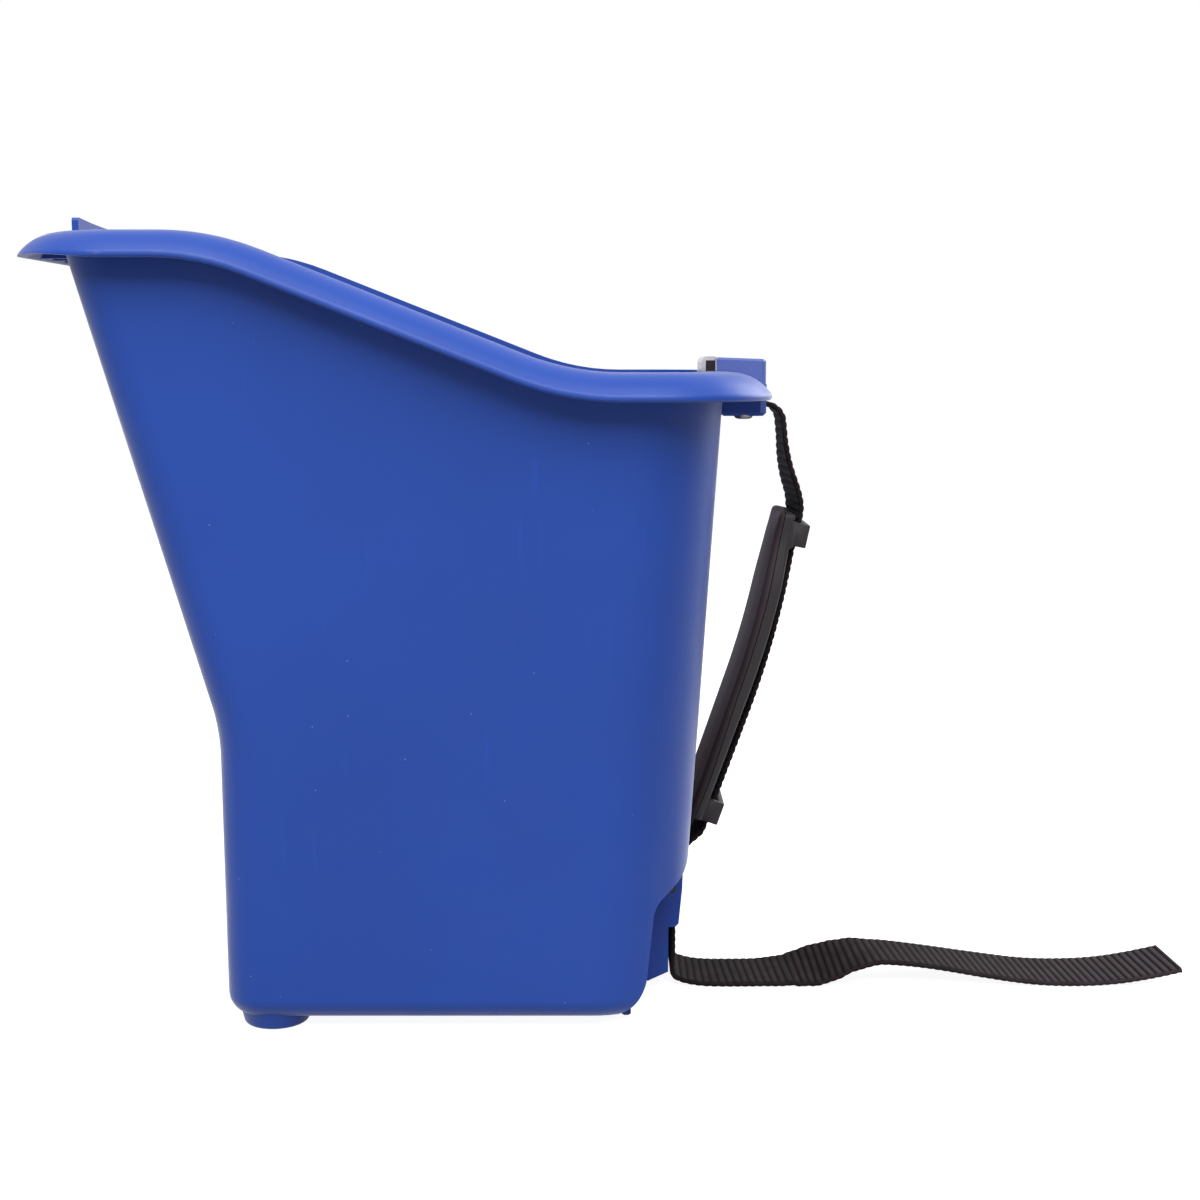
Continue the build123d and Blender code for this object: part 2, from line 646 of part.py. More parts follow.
def magnet_holder():
    seat = dome_arc(DOME_WIDTH, -HOLDER_LAP, -SEAT_GAP)
    front = [(-HOLDER_LENGTH, SEAT_GAP), seat @ 0]
    back = (HOLDER_LAP, HOLDER_RISE - HOLDER_FALL)
    around = Polyline(seat @ 1, back, (-HOLDER_LENGTH, HOLDER_RISE), *front)
    block = make_face([*seat.edges(), *around.edges()])
    solid = at_rear_rim(block, HOLDER_HALF_WIDTH - HOLDER_FOOT_STEP)
    solid = fillet(rear_uprights(solid), HOLDER_CORNER)
    solid = chamfer(solid.faces().sort_by(Axis.Z)[-1].edges(), HOLDER_EDGE)
    brim = dome_arc(DOME_WIDTH, -HOLDER_LAP, -HOLDER_FOOT)
    rim = Polyline(brim @ 0, (-HOLDER_LENGTH, HOLDER_FOOT), *front)
    foot = make_face([*seat.edges(), *Line(seat @ 1, brim @ 1).edges(), *brim.edges(), *rim.edges()])
    solid = solid + at_rear_rim(foot, HOLDER_HALF_WIDTH)
    thread = SCREW_DIAMETER + 2 * THREAD_GAP
    return solid - screw_rods(thread, SKIRT_LOW, REAR_CROWN + SCREW_BITE)


def brush_magnet():
    height = MAGNET_RISE + RIM_SKIN
    place = Pos(MAGNET_BACK - SEAT_GAP - MAGNET_THICKNESS / 2, 0, MAGNET_LOW + height / 2)
    return place * Box(MAGNET_THICKNESS, MAGNET_WIDTH, height)


def pole_plate():
    """Steel plate on the magnet's face, bent over its top."""
    back = MAGNET_BACK - SEAT_GAP
    face = back - MAGNET_THICKNESS
    top = REAR_CROWN + MAGNET_RISE
    plate = polygon(
        (face, MAGNET_LOW),
        (face, top),
        (back, top),
        (back, top + POLE_THICKNESS),
        (face - POLE_THICKNESS, top + POLE_THICKNESS),
        (face - POLE_THICKNESS, MAGNET_LOW),
    )
    bend = plate.vertices().group_by(Axis.X)[0].sort_by(Axis.Y)[-1]
    return in_side_view(fillet(bend, POLE_BEND), MAGNET_WIDTH / 2)


def strap_clamp():
    inside = RIM_SKIN + SEAT_GAP
    seat = dome_arc(DOME_WIDTH, inside, inside)
    low = -RIM_HEIGHT - CLAMP_DROP
    around = Polyline(
        seat @ 1,
        (-inside, -RIM_HEIGHT - SEAT_GAP),
        (CLAMP_LAP, -RIM_HEIGHT - SEAT_GAP),
        (CLAMP_LAP, low),
        (-CLAMP_LENGTH, low),
        (-CLAMP_LENGTH, -inside),
        seat @ 0,
    )
    solid = at_rear_rim(make_face([*seat.edges(), *around.edges()]), HOLDER_HALF_WIDTH)
    solid = chamfer(rear_uprights(solid), CLAMP_CORNER)
    solid = chamfer(solid.faces().sort_by(Axis.Z)[0].edges(), CLAMP_EDGE)
    slot_length = STRAP_TUCK + CLAMP_LAP + 2 * WEB_GAP
    slot = Box(slot_length, 2 * SLOT_HALF_WIDTH, WEB_THICKNESS + 2 * WEB_GAP)
    solid = solid - Pos(RIM_REAR + CLAMP_LAP + WEB_GAP - slot_length / 2, 0, SLOT_HEIGHT) * slot
    clamp_low = SKIRT_LOW - CLAMP_DROP
    seat_high = clamp_low - SCREW_HEAD_SHOW + SCREW_HEAD_HEIGHT + SEAT_GAP
    solid = solid - screw_rods(SCREW_DIAMETER + 2 * SCREW_GAP, clamp_low, REAR_CROWN)
    return solid - screw_rods(SCREW_HEAD_DIAMETER + 2 * SCREW_GAP, clamp_low - SCREW_HEAD_SHOW, seat_high)


def clamp_screws():
    head_low = SKIRT_LOW - CLAMP_DROP - SCREW_HEAD_SHOW
    head_high = head_low + SCREW_HEAD_HEIGHT
    shanks = screw_rods(SCREW_DIAMETER, head_low, REAR_CROWN + SCREW_BITE - SEAT_GAP)
    heads = screw_rods(SCREW_HEAD_DIAMETER, head_low, head_high)
    return Compound([head + shank for head, shank in zip(heads, shanks)])


# Webbing


def hand_strap():
    points, turns = strap_route()
    return in_side_view(band(points, turns, WEB_HALF, WEB_HALF), WEB_WIDTH / 2)


def tail_route():
    """Middle line of the loose end, each bend as wide as the runs beside it allow."""
    points = [STRAP_END]
    points += [(STRAP_DROP_X + x, z) for x, z in TAIL_POINTS]
    corners = zip(points, points[1:], points[2:])
    return points, [bend_radius(*corner, TAIL_BEND_SHARE) for corner in corners]


def strap_tail():
    points, turns = tail_route()
    return in_side_view(band(points, turns, WEB_HALF, WEB_HALF), WEB_WIDTH / 2)


# Hand pad


def pad_strip(route, turns, inner, outer, half_width, corner):
    """Strip along the pad between two distances outward of its middle face, its corners rounded."""
    strip = in_side_view(band(route, turns, outer, -inner), half_width)
    span = outer - inner
    sides = [e for e in strip.edges() if abs(abs(e.center().Y) - half_width) < 1e-3]
    return fillet([e for e in sides if abs(e.length - span) < 1e-3], corner)


def face_rim(solid, toward):
    """Outer edges of the faces of a solid that look toward a direction."""
    looking = [f for f in solid.faces() if f.normal_at().dot(toward) > 0.8]
    edges = [e for f in looking for e in f.edges()]
    return [e for e in edges if edges.count(e) == 1]


def along(start, goal, distance):
    """Point at a distance from start towards goal."""
    share = distance / hypot(goal[0] - start[0], goal[1] - start[1])
    return start[0] + (goal[0] - start[0]) * share, start[1] + (goal[1] - start[1]) * share


def pad_cushion():
    (top, bow, foot), turns = pad_route()
    foot = along(foot, bow, CUSHION_SHORT)
    step = along(top, bow, PAD_TAB_LENGTH)
    wide = BACKING_HALF_WIDTH + CUSHION_LAP
    narrow = TAB_HALF_WIDTH + CUSHION_LAP
    strip = pad_strip([step, bow, foot], turns, -CUSHION_THICKNESS, 0, wide, BACKING_CORNER + CUSHION_LAP)
    strip = fillet(face_rim(strip, Vector(-1, 0, 0)), CUSHION_EDGE)
    corner = BACKING_TAB_CORNER + CUSHION_LAP
    tab_foot = along(step, bow, 2 * CUSHION_EDGE)
    tab = pad_strip([top, tab_foot], [], -CUSHION_TAB_THICKNESS, 0, narrow, corner)
    tab = chamfer(face_rim(tab, Vector(-1, 0, 0)), CUSHION_EDGE / 2)
    return strip + tab - pail_block(-CUSHION_WALL_GAP, 0)


def keeper_loop(end, inward, first, base):
    """Loop that keeps the webbing on a backing of thickness base, first from an end of the pad."""
    line = [along(end, inward, distance) for distance in (first, first + LOOP_LENGTH)]
    line.sort(key=lambda point: -point[1])
    block = in_side_view(band(line, [], base + LOOP_REACH, -base / 2), TAB_HALF_WIDTH)
    gap = in_side_view(band(line, [], base + LOOP_REACH - LOOP_BAR, -base), SLOT_HALF_WIDTH)
    return block - gap


def pad_backing():
    (top, bow, foot), turns = pad_route()
    step = along(top, bow, PAD_TAB_LENGTH)
    strip = pad_strip([step, bow, foot], turns, 0, BACKING_THICKNESS, BACKING_HALF_WIDTH, BACKING_CORNER)
    strip = chamfer(face_rim(strip, Vector(1, 0, 0)), BACKING_EDGE)
    tab_foot = along(step, bow, 3 * BACKING_EDGE)
    tab = pad_strip([top, tab_foot], [], 0, BACKING_TAB_THICKNESS, TAB_HALF_WIDTH, BACKING_TAB_CORNER)
    top_loop = keeper_loop(top, bow, TOP_LOOP_FROM_END, BACKING_TAB_THICKNESS)
    return strip + tab + top_loop + keeper_loop(foot, bow, BOTTOM_LOOP_FROM_END, BACKING_THICKNESS)


# Strap lock


def lock_lever():
    points, turns = strap_route()
    reach = WEB_HALF + LEVER_JAW_GAP
    passage = band(points[6:], turns[6:], reach, reach)
    toe_x = PIN[0] + LEVER_HUB_RADIUS - CHEEK_LENGTH * tan(radians(CHEEK_LEAN))
    toe_z = CHEEK_FOOT + LEVER_TOE_RISE
    wrap, way_out = points[7:9]
    hub = Pos(*PIN) * Circle(LEVER_HUB_RADIUS)
    arm = polygon(
        PIN,
        (PIN[0] + LEVER_HUB_RADIUS, PIN[1]),
        (toe_x, toe_z + CHEEK_CHAMFER),
        (toe_x - CHEEK_CHAMFER / 2, toe_z),
        (way_out[0], toe_z),
        wrap,
    )
    solid = in_side_view(hub + arm - passage, SLOT_HALF_WIDTH - LEVER_GAP)
    return solid - pin_rod(LEVER_PIN_GAP, 2 * HOUSING_HALF_WIDTH)


def lock_pin():
    return pin_rod(0, HOUSING_HALF_WIDTH - PIN_RECESS)


NODES = {
    "pail_body": pail_body,
    "magnet_holder": magnet_holder,
    "brush_magnet": brush_magnet,
    "pole_plate": pole_plate,
    "strap_clamp": strap_clamp,
    "clamp_screws": clamp_screws,
    "hand_strap": hand_strap,
    "strap_tail": strap_tail,
    "pad_cushion": pad_cushion,
    "pad_backing": pad_backing,
    "lock_lever": lock_lever,
    "lock_pin": lock_pin,
}

os.makedirs("parts", exist_ok=True)
solids = {name: make() for name, make in NODES.items()}

# The row's origin is under the middle of everything but the loose end of the webbing
fixed_box = Compound([solid for name, solid in solids.items() if name != "strap_tail"]).bounding_box()
centre_x = (fixed_box.min.X + fixed_box.max.X) / 2
for name, solid in solids.items():
    export_step(Pos(-centre_x, 0, 0) * solid, f"parts/{name}.step")

tail_points, tail_turns = tail_route()
tail_length = solids["strap_tail"].volume / (WEB_WIDTH * WEB_THICKNESS)
print("origin moved by", round(centre_x, 3))
print("tail radii", [round(turn, 1) for turn in tail_turns], "length", round(tail_length, 1))
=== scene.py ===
import math

import bmesh
import bpy
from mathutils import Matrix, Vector


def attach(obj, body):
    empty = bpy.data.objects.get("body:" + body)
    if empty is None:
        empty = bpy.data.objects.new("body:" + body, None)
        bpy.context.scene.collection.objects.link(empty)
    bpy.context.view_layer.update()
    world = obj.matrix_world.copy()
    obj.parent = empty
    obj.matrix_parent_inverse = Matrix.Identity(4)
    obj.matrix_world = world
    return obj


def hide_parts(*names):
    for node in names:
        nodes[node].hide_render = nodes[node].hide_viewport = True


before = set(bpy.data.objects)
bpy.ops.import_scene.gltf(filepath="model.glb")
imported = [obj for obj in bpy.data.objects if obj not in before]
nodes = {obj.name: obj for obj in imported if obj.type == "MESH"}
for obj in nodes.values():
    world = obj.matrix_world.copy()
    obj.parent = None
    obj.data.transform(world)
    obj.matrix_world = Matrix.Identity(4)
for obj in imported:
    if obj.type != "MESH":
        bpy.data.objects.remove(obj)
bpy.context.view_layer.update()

# Studio: a pale floor under a white surround, with the camera a little below the rim's top, square to the
# pail's side. A broad soft lamp stands high in front, a weaker one behind on the strap's side.

CAMERA_PLACE = (0.05365, -0.5975, 0.2085)
CAMERA_DIP = 7.63
CAMERA_LENS = 54.45
FLOOR_SIZE = 5.0
FLOOR_DROP = 0.0002
FLOOR_GLOW = 0.93
FLOOR_PALE = 0.4
FLOOR_BOUNCE = 0.3
SKY_LIGHT = 0.06
LAMP_TARGET = (0.0, 0.0, 0.13)
KEY_PLACE = (-0.1, -1.0, 1.5)
KEY_SIZE = 1.6
KEY_WATTS = 54.0
BACK_PLACE = (1.0, 0.7, 0.7)
BACK_SIZE = 0.8
BACK_WATTS = 16.0


def add_node(tree, kind, inputs=(), **settings):
    """A node with its settings and its inputs, each input a value or the socket that feeds it."""
    node = tree.nodes.new(kind)
    for name, value in settings.items():
        setattr(node, name, value)
    for key, value in dict(inputs).items():
        if isinstance(value, bpy.types.NodeSocket):
            tree.links.new(value, node.inputs[key])
        else:
            node.inputs[key].default_value = value
    return node


def show_to_eye(tree, seen, lit):
    """Mix two shaders: one that the camera, gloss and glass see, one that lights the object."""
    path = add_node(tree, "ShaderNodeLightPath")
    camera_or_gloss = add_node(tree, "ShaderNodeMath", {0: path.outputs["Is Camera Ray"],
                               1: path.outputs["Is Glossy Ray"]}, operation="MAXIMUM")
    any_view = add_node(tree, "ShaderNodeMath", {0: camera_or_gloss.outputs[0],
                        1: path.outputs["Is Transmission Ray"]}, operation="MAXIMUM")
    return add_node(tree, "ShaderNodeMixShader", {0: any_view.outputs[0], 1: lit, 2: seen})


scene = bpy.context.scene
scene.view_settings.view_transform = "Standard"

camera_data = bpy.data.cameras.new("camera")
camera_data.lens = CAMERA_LENS
camera_data.sensor_width = 36.0
camera = bpy.data.objects.new("camera", camera_data)
camera.location = CAMERA_PLACE
camera.rotation_euler = (math.radians(90.0 - CAMERA_DIP), 0.0, 0.0)
scene.collection.objects.link(camera)
scene.camera = camera

world = bpy.data.worlds.new("surround")
scene.world = world
world.use_nodes = True
sky = world.node_tree
sky.nodes.clear()
white_view = add_node(sky, "ShaderNodeBackground", {"Color": (1, 1, 1, 1), "Strength": 1.0})
soft_light = add_node(sky, "ShaderNodeBackground", {"Color": (1, 1, 1, 1), "Strength": SKY_LIGHT})
sky_mix = show_to_eye(sky, white_view.outputs[0], soft_light.outputs[0])
add_node(sky, "ShaderNodeOutputWorld", {"Surface": sky_mix.outputs[0]})

floor_material = bpy.data.materials.new("pale_floor")
floor_material.use_nodes = True
ground = floor_material.node_tree
ground.nodes.clear()
matt = add_node(ground, "ShaderNodeBsdfDiffuse", {"Color": (FLOOR_BOUNCE, FLOOR_BOUNCE, FLOOR_BOUNCE, 1)})
glow = add_node(ground, "ShaderNodeEmission", {"Color": (1, 1, 1, 1), "Strength": FLOOR_GLOW})
faint = add_node(ground, "ShaderNodeBsdfDiffuse", {"Color": (FLOOR_PALE, FLOOR_PALE, FLOOR_PALE, 1)})
seen_floor = add_node(ground, "ShaderNodeAddShader", {0: glow.outputs[0], 1: faint.outputs[0]})
floor_mix = show_to_eye(ground, seen_floor.outputs[0], matt.outputs[0])
add_node(ground, "ShaderNodeOutputMaterial", {"Surface": floor_mix.outputs[0]})

half = FLOOR_SIZE / 2
floor_mesh = bpy.data.meshes.new("floor")
corners = [(-half, -half), (half, -half), (half, half), (-half, half)]
floor_mesh.from_pydata([(x, y, -FLOOR_DROP) for x, y in corners], [], [(0, 1, 2, 3)])
floor_mesh.materials.append(floor_material)
floor = bpy.data.objects.new("floor", floor_mesh)
scene.collection.objects.link(floor)


def soft_lamp(name, place, size, watts):
    """Square softbox that faces the pail's middle."""
    data = bpy.data.lights.new(name, "AREA")
    data.shape = "SQUARE"
    data.size = size
    data.energy = watts
    lamp = bpy.data.objects.new(name, data)
    lamp.location = place
    lamp.rotation_euler = (Vector(LAMP_TARGET) - Vector(place)).to_track_quat("-Z", "Y").to_euler()
    scene.collection.objects.link(lamp)


soft_lamp("key_lamp", KEY_PLACE, KEY_SIZE, KEY_WATTS)
soft_lamp("back_lamp", BACK_PLACE, BACK_SIZE, BACK_WATTS)

# Pail body: one injection moulding in blue polypropylene, satin from the tool, with the rim, the lip ribs,
# the feet and the strap lock's cheeks moulded on. Handling leaves faint scuffs and a few specks of dust.

PAIL_BLUE = (27, 65, 151)
PAIL_DUST = (150, 165, 205)


def linear(red, green, blue):
    """Colour written as 0 to 255 on a screen, as the renderer reads it."""
    channels = []
    for value in (red, green, blue):
        share = value / 255
        channels.append(share / 12.92 if share <= 0.04045 else ((share + 0.055) / 1.055) ** 2.4)
    return (*channels, 1.0)


def blank_material(name):
    """A material with a Principled shader, and its tree and shader."""
    material = bpy.data.materials.new(name)
    material.use_nodes = True
    tree = material.node_tree
    tree.nodes.clear()
    shader = add_node(tree, "ShaderNodeBsdfPrincipled")
    add_node(tree, "ShaderNodeOutputMaterial", {"Surface": shader.outputs[0]})
    return material, tree, shader


def noise(tree, place, scale, detail=2.0, roughness=0.5):
    """Noise of a given scale at a place, as a value from 0 to 1."""
    return add_node(tree, "ShaderNodeTexNoise", {"Vector": place, "Scale": scale, "Detail": detail,
                    "Roughness": roughness}).outputs["Fac"]


def spread(tree, value, low, high, start, end):
    """A value between low and high mapped to run from start to end."""
    return add_node(tree, "ShaderNodeMapRange", {"Value": value, "From Min": low, "From Max": high,
                    "To Min": start, "To Max": end}).outputs["Result"]


def blend(tree, share, first, second):
    """Colour between two colours."""
    mix = add_node(tree, "ShaderNodeMix", {0: share, 6: first, 7: second}, data_type="RGBA")
    return mix.outputs[2]


def scaled(colour, factor):
    """Colour made lighter or darker by a factor."""
    return (*(channel * factor for channel in colour[:3]), 1.0)


def moulded_blue(name, colour):
    """Satin polypropylene with flow clouds, fine scratches, dust specks and the tool's grain."""
    material, tree, shader = blank_material(name)
    place = add_node(tree, "ShaderNodeTexCoord").outputs["Object"]
    blue = linear(*colour)
    cloud = noise(tree, place, 14.0, 3.0)
    flow = spread(tree, cloud, 0.35, 0.65, 0.0, 1.0)
    base = blend(tree, flow, scaled(blue, 0.96), scaled(blue, 1.04))
    scratch_place = add_node(tree, "ShaderNodeMapping", {"Vector": place, "Rotation": (0.2, 0.5, 0.3),
                             "Scale": (260.0, 260.0, 22.0)}).outputs[0]
    scratch = spread(tree, noise(tree, scratch_place, 1.0, 1.0), 0.71, 0.78, 0.0, 0.22)
    scuffed = blend(tree, scratch, base, scaled(blue, 1.6))
    speck = add_node(tree, "ShaderNodeTexVoronoi", {"Vector": place, "Scale": 110.0, "Randomness": 1.0})
    dust = spread(tree, speck.outputs["Distance"], 0.020, 0.034, 0.4, 0.0)
    shader_colour = blend(tree, dust, scuffed, linear(*PAIL_DUST))
    tree.links.new(shader_colour, shader.inputs["Base Color"])
    gloss = spread(tree, noise(tree, place, 60.0, 4.0), 0.3, 0.7, 0.42, 0.48)
    tree.links.new(gloss, shader.inputs["Roughness"])
    shader.inputs["Specular IOR Level"].default_value = 0.3
    shader.inputs["Sheen Weight"].default_value = 0.5
    shader.inputs["Sheen Roughness"].default_value = 0.25
    grain = noise(tree, place, 2600.0, 2.0)
    bump = add_node(tree, "ShaderNodeBump", {"Height": grain, "Strength": 0.12, "Distance": 0.0001})
    tree.links.new(bump.outputs[0], shader.inputs["Normal"])
    return material


def dress(node, material):
    """Give a CAD piece its finish."""
    slots = nodes[node].data.materials
    slots.clear()
    slots.append(material)


blue_plastic = moulded_blue("blue_polypropylene", PAIL_BLUE)
dress("pail_body", blue_plastic)

# Brush magnet: a ferrite bar with a plated steel pole plate on its face, held by a blue saddle that is
# screwed down over the rear rim. The saddle's blue is painted lighter than the pail's, as a painted
# reflection of light from the front. The plate keeps a brush's steel ferrule.

# Painted highlight: the saddle's blue is set lighter than the pail's, standing in for light reflected from
# the front.
HOLDER_BLUE_PAINTED_LIGHT = (80, 96, 160)
FERRITE_BLACK = (36, 32, 35)
PLATE_STEEL = (200, 200, 204)


def dull_ferrite():
    """Sintered black ferrite, gritty and matt."""
    material, tree, shader = blank_material("dull_ferrite")
    place = add_node(tree, "ShaderNodeTexCoord").outputs["Object"]
    dark = linear(*FERRITE_BLACK)
    grit = spread(tree, noise(tree, place, 900.0, 4.0), 0.35, 0.65, 0.0, 1.0)
    speckled = blend(tree, grit, scaled(dark, 0.75), scaled(dark, 1.35))
    tree.links.new(speckled, shader.inputs["Base Color"])
    shader.inputs["Roughness"].default_value = 0.7
    shader.inputs["Specular IOR Level"].default_value = 0.2
    bump = add_node(tree, "ShaderNodeBump", {"Height": grit, "Strength": 0.25, "Distance": 0.0002})
    tree.links.new(bump.outputs[0], shader.inputs["Normal"])
    return material


def brushed_steel(name, colour, roughness):
    """Steel with fine lines across the pail."""
    material, tree, shader = blank_material(name)
    place = add_node(tree, "ShaderNodeTexCoord").outputs["Object"]
    along = add_node(tree, "ShaderNodeMapping", {"Vector": place, "Scale": (1500.0, 40.0, 1500.0)})
    lines = noise(tree, along.outputs[0], 1.0, 2.0)
    steel = linear(*colour)
    brushed = blend(tree, lines, scaled(steel, 0.92), scaled(steel, 1.06))
    tree.links.new(brushed, shader.inputs["Base Color"])
    gloss = spread(tree, lines, 0.3, 0.7, roughness - 0.06, roughness + 0.08)
    tree.links.new(gloss, shader.inputs["Roughness"])
    shader.inputs["Metallic"].default_value = 1.0
    return material


bright_steel = brushed_steel("plated_steel", PLATE_STEEL, 0.28)
dress("magnet_holder", moulded_blue("blue_polypropylene_painted_highlight", HOLDER_BLUE_PAINTED_LIGHT))
dress("brush_magnet", dull_ferrite())
dress("pole_plate", bright_steel)

# Strap clamp: a moulded blue block under the rear rim that holds the upper end of the webbing. Two plated
# pan-head screws with a cross recess go up through the clamp and the rim into the magnet's saddle. Their
# steel is painted dark grey as painted shade under the rim.

SCREW_X = 0.099348
SCREW_SPACING = 0.0324
SCREW_FOOT = 0.1889
SCREW_PROFILE = [(0.0, 0.0002), (0.0, 0.0019), (0.0004, 0.0027), (0.0011, 0.0031), (0.0019, 0.0031),
                 (0.00191, 0.00175), (0.0172, 0.00175), (0.0182, 0.0009)]
RECESS_WIDTH = 0.0009
RECESS_REACH = 0.0036
RECESS_DEPTH = 0.0009
# Painted shade: the screws' steel is set dark grey for the shadow under the rim.
SCREW_SHADE_GREY = (118, 114, 116)


def new_tree(name, sizes):
    """A Geometry Nodes tree with a geometry in and out and named inputs for its sizes."""
    tree = bpy.data.node_groups.new(name, "GeometryNodeTree")
    tree.interface.new_socket("Geometry", in_out="INPUT", socket_type="NodeSocketGeometry")
    tree.interface.new_socket("Geometry", in_out="OUTPUT", socket_type="NodeSocketGeometry")
    for size in sizes:
        tree.interface.new_socket(size, in_out="INPUT", socket_type="NodeSocketFloat")
    return tree, add_node(tree, "NodeGroupInput").outputs


def finish_tree(tree, geometry, material):
    """End a tree with plain geometry in one material."""
    plain = add_node(tree, "GeometryNodeRealizeInstances", {"Geometry": geometry})
    coloured = add_node(tree, "GeometryNodeSetMaterial", {"Geometry": plain.outputs[0],
                        "Material": material})
    add_node(tree, "NodeGroupOutput", {"Geometry": coloured.outputs[0]})


def line_object(name, kind, points, radii=None):
    """A curve of one open spline through, or along, points in metres."""
    data = bpy.data.curves.new(name, "CURVE")
    data.dimensions = "3D"
    data.resolution_u = 24
    spline = data.splines.new(kind)
    spline.points.add(len(points) - 1)
    for index, point in enumerate(points):
        spline.points[index].co = (*point, 1.0)
        if radii:
            spline.points[index].radius = radii[index]
    if kind == "NURBS":
        spline.order_u = 3
        spline.use_endpoint_u = True
    line = bpy.data.objects.new(name, data)
    scene.collection.objects.link(line)
    return line


def plain_mesh(line, name, tree, sizes):
    """Run a tree on a line with its sizes set, and keep the result as a mesh object."""
    modifier = line.modifiers.new(tree.name, "NODES")
    modifier.node_group = tree
    for item in tree.interface.items_tree:
        if item.in_out == "INPUT" and item.name in sizes:
            modifier[item.identifier] = sizes[item.name]
    evaluated = line.evaluated_get(bpy.context.evaluated_depsgraph_get())
    mesh = bpy.data.meshes.new_from_object(evaluated)
    mesh.name = name
    line.modifiers.remove(modifier)
    bpy.data.objects.remove(line)
    made = bpy.data.objects.new(name, mesh)
    scene.collection.objects.link(made)
    return made


shade_darkened_screw_steel = brushed_steel("shade_darkened_zinc", SCREW_SHADE_GREY, 0.45)


def screw_tree():
    """Turn a screw from its outline, cut the cross recess and set one at each side."""
    tree, sizes = new_tree("clamp_screw_pair", ["Spacing", "Recess Width", "Recess Reach", "Recess Depth"])
    ring = add_node(tree, "GeometryNodeCurvePrimitiveCircle", {"Resolution": 40, "Radius": 1.0})
    radius = add_node(tree, "GeometryNodeInputRadius")
    turned = add_node(tree, "GeometryNodeCurveToMesh", {"Curve": sizes["Geometry"],
                      "Profile Curve": ring.outputs[0], "Scale": radius.outputs[0], "Fill Caps": True})
    bars = []
    for first, second in (("Recess Reach", "Recess Width"), ("Recess Width", "Recess Reach")):
        deep = add_node(tree, "ShaderNodeMath", {0: sizes["Recess Depth"], 1: 2.0}, operation="MULTIPLY")
        edge = add_node(tree, "ShaderNodeCombineXYZ", {"X": sizes[first], "Y": sizes[second],
                        "Z": deep.outputs[0]})
        bars.append(add_node(tree, "GeometryNodeMeshCube", {"Size": edge.outputs[0]}).outputs[0])
    cut = add_node(tree, "GeometryNodeMeshBoolean", {"Mesh 1": turned.outputs[0]}, operation="DIFFERENCE")
    for bar in bars:
        tree.links.new(bar, cut.inputs["Mesh 2"])
    away = add_node(tree, "ShaderNodeMath", {0: sizes["Spacing"], 1: -0.5}, operation="MULTIPLY")
    start = add_node(tree, "ShaderNodeCombineXYZ", {"X": SCREW_X, "Y": away.outputs[0], "Z": SCREW_FOOT})
    step = add_node(tree, "ShaderNodeCombineXYZ", {"Y": sizes["Spacing"]})
    pair = add_node(tree, "GeometryNodeMeshLine", {"Count": 2, "Start Location": start.outputs[0],
                    "Offset": step.outputs[0]})
    placed = add_node(tree, "GeometryNodeInstanceOnPoints", {"Points": pair.outputs[0],
                      "Instance": cut.outputs["Mesh"]})
    finish_tree(tree, placed.outputs[0], shade_darkened_screw_steel)
    return tree


screw_line = line_object("screw_outline", "POLY", [(0, 0, z) for z, radius in SCREW_PROFILE],
                         [radius for z, radius in SCREW_PROFILE])
screws = plain_mesh(screw_line, "cross_head_screws", screw_tree(), {
    "Spacing": SCREW_SPACING, "Recess Width": RECESS_WIDTH, "Recess Reach": RECESS_REACH,
    "Recess Depth": RECESS_DEPTH})
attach(screws, "pail")
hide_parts("clamp_screws")
dress("strap_clamp", blue_plastic)

# Hand strap: 25 mm black polypropylene webbing with a rib woven across it every 2.5 mm. Its upper end is
# in the clamp, it runs down the outside of the hand pad and then round the lock at the pail's foot. It is
# slightly twisted above the pad, and its yarn is dusty towards the loose end.

WEB_SIZES = {"Width": 0.0247, "Thickness": 0.0018, "Rib Pitch": 0.0025, "Groove Depth": 0.0004,
             "Edge Round": 0.0006, "Selvage": 0.0009, "Step": 0.00025}
WEB_BLACK = (33, 26, 29)
WEB_DUST = (104, 92, 99)
WEB_DUST_REACH = (0.15, 0.24)
STRAP_ROUTE = [
    (0.095648, 0.193400, 0.0),
    (0.112148, 0.193600, 0.0060),
    (0.114078, 0.174437, 0.0583),
    (0.118265, 0.160704, 0.01928),
    (0.110983, 0.118040, 0.3056),
    (0.087288, 0.052500, 0.0050),
    (0.081705, 0.047700, 0.0050),
    (0.072253, 0.035254, 0.0045),
    (0.077993, 0.021100, 0.0050),
    (0.077993, 0.010900, 0.0),
]
STRAP_TWIST = 0.085
STRAP_TWIST_FOOT = 0.146
STRAP_TWIST_TOP = 0.182
STRAP_TWIST_RISE = 0.014


